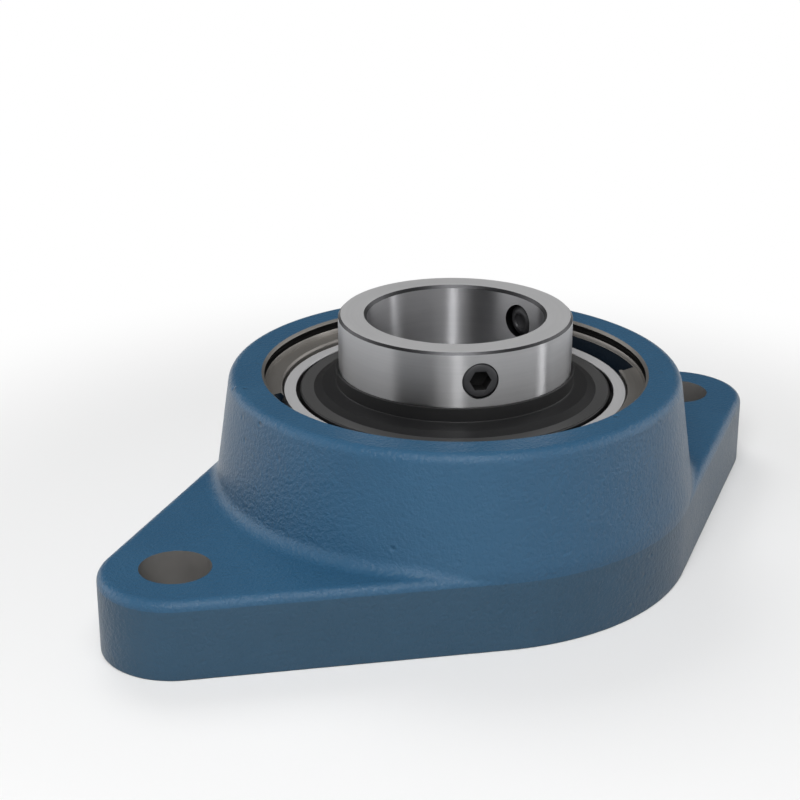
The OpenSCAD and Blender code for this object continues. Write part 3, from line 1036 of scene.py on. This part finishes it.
@dataclass
class InnerRing:
    """Wide inner ring with its raceway and two tapped holes for set screws."""

    finishes: Finishes
    bore_r: float = 15.0
    collar_r: float = 19.85
    low: float = 4.1
    high: float = 42.2
    bore_chamfer: float = 0.5
    collar_chamfer: float = 0.4
    race_centre_r: float = 23.1705
    race_half: float = 47.5
    race_steps: int = 20
    hole_r: float = 3.0
    hole_span: Point2 = (12.0, 22.0)
    mouth_r: float = 3.25
    mouth_span: Point2 = (19.73, 20.05)
    collar_rows: Numbers = (41.2, 40.6, 39.8, 38.6, 37.3, 36.0, 34.8, 34.0, 33.0, 30.0, 26.0)
    tail_rows: Numbers = (13.0, 8.0)
    bore_rows: Numbers = (8.0, 16.0, 24.0, 32.0, 34.0, 35.2, 36.4, 37.3, 38.2, 39.4, 40.6)
    around: int = 360
    crease: float = 25.0

    def profile(self) -> list[Point2]:
        """Closed profile, counted down the outside.

        Returns:
            Radius and height of each point.
        """
        bore, collar, crisp = self.bore_r, self.collar_r, 0.1
        inner, outer = self.bore_chamfer, self.collar_chamfer
        ends = (180 - self.race_half, 180 + self.race_half)
        race = arc((self.race_centre_r, MIDDLE_Z), RACE_R, *ends, self.race_steps)
        collar_rows = (self.high - outer, *self.collar_rows)
        bore_rows = (self.low + inner, *self.bore_rows, self.high - inner)
        return [
            (bore + inner, self.high), (bore + inner + crisp, self.high),
            (collar - outer - crisp, self.high), (collar - outer, self.high),
            *((collar, z) for z in collar_rows), *race,
            *((collar, z) for z in (*self.tail_rows, self.low + outer)),
            (collar - outer, self.low), (bore + inner, self.low),
            *((bore, z) for z in bore_rows),
        ]

    def slot_of(self, radius: float, height: float) -> int:
        """Material number by place: ground outside, end faces, dark chamfers and bore.

        Args:
            radius: Middle radius of a face.
            height: Middle height of a face.

        Returns:
            The number.
        """
        if min(abs(height - self.high), abs(height - self.low)) < SAME:
            return 1
        near_end = not self.low + self.bore_chamfer <= height <= self.high - self.bore_chamfer
        if near_end and self.bore_r + SAME < radius < self.collar_r - SAME:
            return 2
        return 3 if radius < self.bore_r + SAME else 0

    def build(self) -> Piece:
        """Build the ring, cut its tapped holes and dress it.

        Returns:
            The ring.
        """
        names = ("ground_steel", "ground_face", "chamfer_steel", "honed_bore")
        materials = [self.finishes[name] for name in names]
        piece = lathe("inner_ring_ground", self.profile(), materials, self.around, self.slot_of)
        start, end = self.hole_span
        narrow, wide = self.mouth_span
        hole = [(0.0, start), (self.hole_r, start), (self.hole_r, narrow), (self.mouth_r, wide),
                (self.mouth_r, end), (0.0, end)]
        places, chamfer = [(turn, SCREW_Z) for turn in SCREW_TURNS], names.index("chamfer_steel")
        cut(piece, [drill(hole, at, materials, THREAD_STEPS, chamfer) for at in places])
        settle(piece, self.crease)
        return place(piece, "inner_ring", "bearing_steel", "inner_ring")


@dataclass
class OuterRing:
    """Outer ring with a spherical outside, raceway, seal grooves and grease holes."""

    finishes: Finishes
    sphere_r: float = 31.0
    half: float = 9.0
    chamfer: float = 0.45
    race_centre_r: float = 22.8295
    race_turn: float = 37.8
    race_steps: int = 12
    seal_seat: Points = (
        (25.9, 4.0), (25.9, 6.1), (27.7, 6.1), (27.7, 7.3), (27.1, 7.3), (27.1, 8.9),
    )
    face_start: Point2 = (27.2, 27.3)
    face_end: Point2 = (0.6, 0.5)
    grease_hole: Points = ((0.0, 24.9), (0.9, 24.9), (0.9, 32.0), (0.0, 32.0))
    grease_turns: Point2 = (90.0, 210.0)
    hole_steps: int = 32
    sphere_steps: int = 14
    around: int = 360
    crease: float = 25.0

    def half_profile(self) -> list[Point2]:
        """Front half of the profile, from the raceway's middle to the sphere's equator.

        Returns:
            Radius of each point and its height from the middle plane.
        """
        race = arc((self.race_centre_r, 0.0), RACE_R, 0, self.race_turn, self.race_steps)
        face_r = math.sqrt(self.sphere_r**2 - self.half**2)
        face = (*self.face_start, *(face_r - inset for inset in self.face_end))
        first = math.degrees(math.asin((self.half - self.chamfer) / self.sphere_r))
        sphere = arc((0.0, 0.0), self.sphere_r, first, 0, self.sphere_steps)
        return [*race, *self.seal_seat, *((r, self.half) for r in face), *sphere]

    def slot_of(self, _radius: float, height: float) -> int:
        """Material number by place: 1 on the end faces, 0 elsewhere."""
        return int(abs(abs(height - MIDDLE_Z) - self.half) < SAME)

    def build(self) -> Piece:
        """Build and dress the ring.

        Returns:
            The ring.
        """
        front = self.half_profile()
        back = [(r, -z) for r, z in front[1:-1]][::-1]
        profile = [(r, MIDDLE_Z + z) for r, z in front + back]
        materials = [self.finishes["ground_steel"], self.finishes["ground_face"]]
        piece = lathe("outer_ring_ground", profile, materials, self.around, self.slot_of)
        places = [(turn, GREASE_Z) for turn in self.grease_turns]
        cut(piece, [drill(self.grease_hole, at, materials, self.hole_steps) for at in places])
        settle(piece, self.crease)
        return place(piece, "outer_ring", "bearing_steel", "outer_ring")


class Side(Enum):
    """Front or back of the insert."""

    FRONT = 1
    BACK = -1


@dataclass
class Flinger:
    """Rubber-coated flinger on the collar: neck, inner step, slope, outer flat and rim.

    The section is that of the front flinger, with heights from the middle plane.
    """

    finishes: Finishes
    side: Side
    section: Points = (
        (19.86, 9.5), (19.86, 12.9), (20.35, 12.9), (20.35, 10.55), (20.75, 10.4), (22.65, 9.95),
        (24.15, 9.3), (26.3, 9.3), (26.5, 9.1), (26.5, 8.4), (24.1, 8.4), (22.65, 9.05),
    )
    rounding: float = 0.12
    # Radii and height of the outer flat that takes the painted reflection.
    sheen_band: Point2 = (24.1, 26.25)
    sheen_band_z: float = 9.2
    around: int = 256

    def slot_of(self, radius: float, height: float) -> int:
        """Material number by place: 1 on the outer flat, whose lighter grey is a painted reflection,
        0 elsewhere.
        """
        outer = abs(height - MIDDLE_Z) > self.sheen_band_z
        return int(outer and self.sheen_band[0] < radius < self.sheen_band[1])

    def build(self) -> Piece:
        """Build and dress the flinger.

        Returns:
            The flinger.
        """
        name = f"flinger_{self.side.name.lower()}"
        section = rounded(self.section, self.rounding)
        profile = [(r, MIDDLE_Z + self.side.value * z) for r, z in section]
        materials = [self.finishes["flinger_rubber"], self.finishes["flinger_painted_sheen"]]
        piece = lathe(name + "_disc", profile, materials, self.around, self.slot_of)
        weigh_normals(piece)
        return place(piece, "inner_ring", "rubber", name)


# Fasteners and fittings


def round_rows(*points: Point2) -> list[list[Point2]]:
    """Round rows of a screw or nipple, one for each radius and height."""
    return [[point] * THREAD_STEPS for point in points]


def hex_row(inner_r: float, height: float, most: float = math.inf) -> list[Point2]:
    """A hexagonal row of a screw or nipple.

    Args:
        inner_r: Distance from the middle to a flat.
        height: Height of the row.
        most: Radius at which its corners are turned off.

    Returns:
        Radius and height of each point.
    """
    sector = math.pi / 3
    row = []
    for step in range(THREAD_STEPS):
        angle = step * 2 * math.pi / THREAD_STEPS
        from_flat = (angle + sector / 2) % sector - sector / 2
        row.append((min(inner_r / math.cos(from_flat), most), height))
    return row


def thread_row(radius: float, height: float, depth: float) -> list[Point2]:
    """A row across a thread.

    Args:
        radius: Radius over the thread.
        height: Height of the row.
        depth: Depth of the groove.

    Returns:
        Radius and height of each point.
    """
    row = []
    for step in range(THREAD_STEPS):
        share = (height / THREAD_PITCH - step / THREAD_STEPS) % 1.0
        groove = max(0.0, 1 - abs(share - 0.5) * 2 / THREAD_OPENING)
        row.append((radius - depth * groove, height))
    return row


@dataclass
class SetScrew:
    """Set screw with a rolled thread, a hexagon socket and a cup point.

    Heights run from the cup point outward. Those of the outer end are counted back from it.
    """

    finishes: Finishes
    node: str
    turn: float
    tip_r: float = 15.2
    length: float = 4.5
    thread_r: float = 2.97
    thread_depth: float = 0.5
    thread_ends: Point2 = (1.0, 0.3)
    thread_fades: Point2 = (0.3, 0.2)
    thread_rows: int = 41
    socket: float = 1.5
    cup: Points = ((1.2, 0.25), (1.32, 0.02), (1.4, 0.0), (1.88, 0.0), (1.98, 0.08), (2.9, 0.95))
    cup_depth: float = 0.6
    head: Points = ((2.93, 0.26), (2.7, 0.03), (2.62, 0.0), (2.1, 0.0))
    socket_rows: Points = ((1.09, 0.0), (1.05, 0.01), (1.0, 0.12), (1.0, 1.4), (1.0, 2.2))
    socket_end: Point2 = (1.3, 2.25)
    socket_depth: float = 2.3
    shade_span: Point2 = (0.05, 2.5)
    shade_reach: float = 1.2
    crease: float = 40.0

    def build(self) -> Piece:
        """Build and dress the screw.

        Returns:
            The screw.
        """
        end = self.length
        first, last = self.thread_ends[0], end - self.thread_ends[1]
        rows = round_rows(*self.cup)
        for z in np.linspace(first, last, self.thread_rows):
            rise, fall = self.thread_fades
            fade = min(1.0, (z - first) / rise, (last - z) / fall)
            rows.append(thread_row(self.thread_r, float(z), self.thread_depth * fade))
        rows += round_rows(*((r, end - depth) for r, depth in self.head))
        rows += [hex_row(self.socket * share, end - depth) for share, depth in self.socket_rows]
        rows += round_rows((self.socket_end[0], end - self.socket_end[1]))
        materials = [self.finishes["black_oxide"], self.finishes["groove_shadow"]]
        poles = (self.cup_depth, end - self.socket_depth)
        piece = shaped_solid(self.node + "_threaded", rows, poles, materials)
        for face in piece.data.polygons:
            depth, out = end - face.center.z / MM, math.hypot(face.center.x, face.center.y) / MM
            inside = out < self.shade_reach * self.socket
            face.material_index = int(inside and self.shade_span[0] < depth < self.shade_span[1])
        outward = Matrix.Translation((0, 0, self.tip_r * MM))
        piece.data.transform(radial_frame(self.turn, SCREW_Z) @ outward)
        sharpen(piece, self.crease)
        return place(piece, self.node, "black_oxide", self.node)


@dataclass
class GreaseNipple:
    """Grease nipple with a thread, a hexagon and a turned head.

    Heights run outward from the spot face on the housing.
    """

    finishes: Finishes
    head: Points = (
        (0.7, 9.2), (0.7, 9.45), (0.78, 9.5), (1.1, 9.5), (1.2, 9.45), (3.2, 7.0), (3.25, 6.9),
        (3.25, 6.25), (3.18, 6.1), (2.45, 5.3), (2.4, 5.2), (2.4, 4.4), (2.45, 4.2), (2.9, 3.75),
        (3.0, 3.62),
    )
    hexagon_r: float = 3.5
    hexagon_rows: Points = (
        (3.45, 3.5), (3.62, 3.4), (3.97, 3.2), (4.32, 3.0), (4.32, 0.5), (3.97, 0.3), (3.62, 0.1),
        (3.45, 0.0),
    )
    thread_r: float = 3.0
    thread_depth: float = 0.45
    thread_ends: Point2 = (-0.05, -4.4)
    thread_fade: float = 0.4
    thread_rows: int = 45
    tail: Points = ((2.5, -4.9), (2.4, -5.0), (0.75, -5.0), (0.7, -4.95), (0.7, -4.0))
    crease: float = 35.0

    def build(self) -> Piece:
        """Build and dress the nipple.

        Returns:
            The nipple.
        """
        first, last = self.thread_ends
        rows = round_rows(*self.head)
        rows += [hex_row(self.hexagon_r, z, most) for most, z in self.hexagon_rows]
        rows += round_rows((self.thread_r, 0.0))
        for z in np.linspace(first, last, self.thread_rows):
            fade = min(1.0, (first - z) / self.thread_fade)
            rows.append(thread_row(self.thread_r, float(z), self.thread_depth * fade))
        rows += round_rows(*self.tail)
        poles = (self.head[0][1], self.tail[-1][1])
        piece = shaped_solid("grease_nipple_turned", rows, poles, [self.finishes["zinc_plate"]])
        piece.data.transform(nipple_frame())
        sharpen(piece, self.crease)
        return place(piece, "housing", "zinc_plate", "grease_nipple")


@dataclass
class CheckSpring:
    """Spring of the nipple's check ball, wound with closed end turns."""

    finishes: Finishes
    coil_r: float = 0.95
    wire_r: float = 0.15
    start: float = -3.83
    end: float = 6.996
    turns: int = 8
    travel: float = 0.8
    closing: float = 2.1
    per_turn: int = 36
    sides: int = 10
    crease: float = 60.0

    def build(self) -> Piece:
        """Wind the spring.

        Returns:
            The spring.
        """
        closed = self.closing * self.wire_r
        knots = (0.0, 1.0, self.turns - 1.0, float(self.turns))
        heights = (self.start, self.start + closed, self.end - closed, self.end)
        rings = self.turns * self.per_turn
        turn = np.repeat(np.arange(rings + 1) / self.per_turn, self.sides)
        around = np.tile(np.arange(self.sides) * 2 * math.pi / self.sides, rings + 1)
        radius, angle = self.coil_r + self.wire_r * np.cos(around), 2 * math.pi * turn
        height = np.interp(turn, knots, heights) + self.wire_r * np.sin(around)
        points = np.stack([radius * np.cos(angle), radius * np.sin(angle), height], axis=1)
        faces = ring_faces(rings + 1, self.sides, False)
        faces += [list(range(self.sides)), list(range(rings * self.sides, len(points)))]
        piece = mesh_object("check_spring_wound", points, faces, [self.finishes["zinc_plate"]])
        clean(piece)
        at_nipple = nipple_frame()
        piece.data.transform(at_nipple)
        sharpen(piece, self.crease)
        place(piece, "housing", "zinc_plate", "check_spring")
        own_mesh(piece)
        return piece


@dataclass
class InnerParts:
    """Pieces that stay as the frame has them and only take a finish."""

    finishes: Finishes

    def build(self) -> list[str]:
        """Dress balls, cage, seals and the nipple's check ball.

        Returns:
            Their names.
        """
        wanted = {f"ball_{i}": "ball_steel" for i in range(1, 10)}
        wanted |= {"cage": "cage_nylon", "seal_front": "seal_rubber", "seal_back": "seal_rubber",
                   "check_ball": "ball_steel"}
        for node, finish in wanted.items():
            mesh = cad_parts[node].data
            mesh.materials.clear()
            mesh.materials.append(self.finishes[finish])
        return sorted(wanted)


# Studio


@dataclass(frozen=True)
class Lamp:
    """One soft rectangular lamp.

    Attributes:
        name: Name of the lamp.
        azimuth: Level angle from the camera's side of the unit, in degrees, positive to its right.
        elevation: Height angle in degrees.
        size: Width and height in metres.
        power: Power in watts.
        distance: Distance from the unit in metres.
        shines: Whether polished surfaces show the lamp.
        lights: Whether the lamp lights matt surfaces.
    """

    name: str
    azimuth: float
    elevation: float
    size: Point2
    power: float
    distance: float = 0.8
    shines: bool = True
    lights: bool = True


@dataclass(frozen=True)
class Panel:
    """One bright stretch of wall that polished steel shows, and that lights nothing else.

    Attributes:
        name: Name of the panel.
        start: First azimuth in degrees, counted as for a lamp.
        end: Last azimuth in degrees.
        strength: Brightness, where 1 is white.
        distance: Distance from the unit in metres.
        height: Height of the panel in metres.
        elevation: Height angle of its middle in degrees.
    """

    name: str
    start: float
    end: float
    strength: float
    distance: float = 1.0
    height: float = 0.75
    elevation: float = 19.0

    def lamp(self) -> Lamp:
        """The soft lamp that stands for the panel.

        Returns:
            A lamp as bright as the panel's area asks.
        """
        width = 2 * self.distance * math.tan(math.radians(self.end - self.start) / 2)
        power = self.strength * math.pi * width * self.height
        middle, size = (self.start + self.end) / 2, (width, self.height)
        return Lamp(self.name, middle, self.elevation, size, power, self.distance, lights=False)


LAMPS = (
    Lamp("top_box", 5.0, 72.0, (0.4, 0.2), 1.2),
    Lamp("back_left_box", -156.0, 50.0, (0.4, 0.4), 1.6, shines=False),
    Lamp("back_right_box", 150.0, 60.0, (0.4, 0.4), 0.2, shines=False),
    Lamp("front_strip", 2.0, 50.0, (0.08, 0.4), 2.3),
    Lamp("front_box", -12.0, 36.0, (0.3, 0.3), 3.1, shines=False),
)
PANELS = (
    Panel("left_wall", -138.0, -60.0, 1.6),
    Panel("front_wall", -18.0, 22.0, 0.7),
    Panel("front_right_wall", 22.0, 78.0, 1.2),
    Panel("strip_light", 85.0, 92.0, 7.0),
    Panel("right_wall", 98.0, 140.0, 1.4),
)


@dataclass
class Studio:
    """Pale floor, soft lamps, panelled walls and the camera of the photograph.

    Lengths are in metres, apart from the camera's lens and sensor in millimetres.
    """

    toward_camera: Point2 = (-0.64804, -0.76160)
    camera_back: tuple[float, float, float] = (-0.60269, -0.70831, 0.36750)
    camera_spot: tuple[float, float, float] = (-0.197125, -0.217236, 0.142227)
    lens: float = 82.33
    sensor: float = 36.0
    clip: Point2 = (0.01, 20.0)
    aim_z: float = 0.025
    ambient: float = 0.10
    floor_reach: float = 6.0
    floor_z: float = -0.00002
    floor_white: float = 0.86
    floor_bounce: float = 0.45
    floor_lift: float = 0.08
    floor_fade: Point2 = (0.075, 0.15)

    def toward(self, degrees: float) -> Vector:
        """Level direction at an angle from the camera's side.

        Args:
            degrees: The angle, positive to the camera's right.

        Returns:
            The direction, one metre long.
        """
        front = Vector((*self.toward_camera, 0.0))
        right = Vector((-self.toward_camera[1], self.toward_camera[0], 0.0))
        turn = math.radians(degrees)
        return front * math.cos(turn) + right * math.sin(turn)

    def camera(self) -> None:
        """Set the camera where the photograph was taken from."""
        data = bpy.data.cameras.new("photo_camera")
        data.lens, data.sensor_width = self.lens, self.sensor
        data.clip_start, data.clip_end = self.clip
        piece = bpy.data.objects.new("photo_camera", data)
        right, back = self.toward(90.0), Vector(self.camera_back)
        turn = Matrix((right, back.cross(right), back)).transposed().to_4x4()
        piece.matrix_world = Matrix.Translation(Vector(self.camera_spot)) @ turn
        bpy.context.scene.collection.objects.link(piece)
        bpy.context.scene.camera = piece

    def hang(self, lamp: Lamp) -> None:
        """Hang one lamp so that it looks at the unit.

        Args:
            lamp: The lamp.
        """
        data = bpy.data.lights.new(lamp.name, "AREA")
        data.shape = "RECTANGLE"
        data.size, data.size_y = lamp.size
        data.energy = lamp.power
        piece = bpy.data.objects.new(lamp.name, data)
        rise = math.radians(lamp.elevation)
        where = self.toward(lamp.azimuth) * math.cos(rise) + Vector((0, 0, math.sin(rise)))
        piece.location = where * lamp.distance + Vector((0, 0, self.aim_z))
        piece.rotation_euler = where.to_track_quat("Z", "Y").to_euler()
        piece.visible_glossy, piece.visible_diffuse = lamp.shines, lamp.lights
        bpy.context.scene.collection.objects.link(piece)

    def floor_material(self) -> Material:
        """White floor, lifted where it is seen so that only its shadows are grey.

        Returns:
            The material.
        """
        material = bpy.data.materials.new("floor_white")
        material.use_nodes = True
        nodes, shader = material.node_tree.nodes, Shader(material.node_tree)
        path = shader.node("ShaderNodeLightPath").outputs
        seen = shader.math("MAXIMUM", path["Is Camera Ray"], path["Is Glossy Ray"])
        seen = shader.math("MAXIMUM", seen, path["Is Transmission Ray"])
        tones = [(tone, tone, tone, 1.0) for tone in (self.floor_bounce, self.floor_white)]
        body = nodes["Principled BSDF"]
        shader.fill(body, {
            "Base Color": shader.mix(seen, *tones), "Roughness": 1.0, "Specular IOR Level": 0.0,
        })
        glow = shader.node("ShaderNodeEmission", {"Color": (1.0, 1.0, 1.0, 1.0)})
        away = shader.node("ShaderNodeVectorMath", {0: shader.where()}, operation="LENGTH")
        far = shader.smooth(away.outputs["Value"], *self.floor_fade)
        lift = shader.math("MULTIPLY_ADD", far, 1 - self.floor_lift, self.floor_lift)
        share = shader.math("MULTIPLY", seen, lift)
        both = shader.node("ShaderNodeMixShader", {0: share, 1: body.outputs[0], 2: glow.outputs[0]})
        shader.fill(nodes["Material Output"], {"Surface": both.outputs[0]})
        return material

    def floor(self) -> None:
        """Lay the pale floor."""
        mesh = bpy.data.meshes.new("floor")
        reach = self.floor_reach
        corners = [(-reach, -reach, 0), (reach, -reach, 0), (reach, reach, 0), (-reach, reach, 0)]
        mesh.from_pydata(corners, [], [(0, 1, 2, 3)])
        mesh.materials.append(self.floor_material())
        piece = bpy.data.objects.new("floor", mesh)
        piece.location.z = self.floor_z
        bpy.context.scene.collection.objects.link(piece)

    def world(self) -> None:
        """Set a dim plain room, which the camera sees as white."""
        world = bpy.data.worlds.new("studio")
        bpy.context.scene.world = world
        world.use_nodes = True
        shader = Shader(world.node_tree)
        seen = shader.node("ShaderNodeLightPath").outputs["Is Camera Ray"]
        shader.fill(world.node_tree.nodes["Background"], {
            "Color": (1.0, 1.0, 1.0, 1.0), "Strength": shader.math("MAXIMUM", seen, self.ambient),
        })

    def build(self) -> None:
        """Set up the whole studio."""
        bpy.context.scene.view_settings.view_transform = "Standard"
        self.camera()
        self.floor()
        self.world()
        for lamp in (*LAMPS, *(panel.lamp() for panel in PANELS)):
            self.hang(lamp)


def main() -> None:
    """Build the studio and every piece of the unit, and report each one."""
    logging.basicConfig(level=logging.INFO, format="%(name)s: %(message)s")
    Studio().build()
    finishes = make_finishes()
    makers = [
        Housing(finishes),
        InnerRing(finishes),
        OuterRing(finishes),
        Flinger(finishes, Side.FRONT),
        Flinger(finishes, Side.BACK),
        SetScrew(finishes, "set_screw_1", SCREW_TURNS[0]),
        SetScrew(finishes, "set_screw_2", SCREW_TURNS[1]),
        GreaseNipple(finishes),
        CheckSpring(finishes),
    ]
    for maker in makers:
        piece = maker.build()
        LOG.info("%s: %d faces", piece.name, len(piece.data.polygons))
    LOG.info("dressed as they are: %s", ", ".join(InnerParts(finishes).build()))


if __name__ == "__main__":
    main()
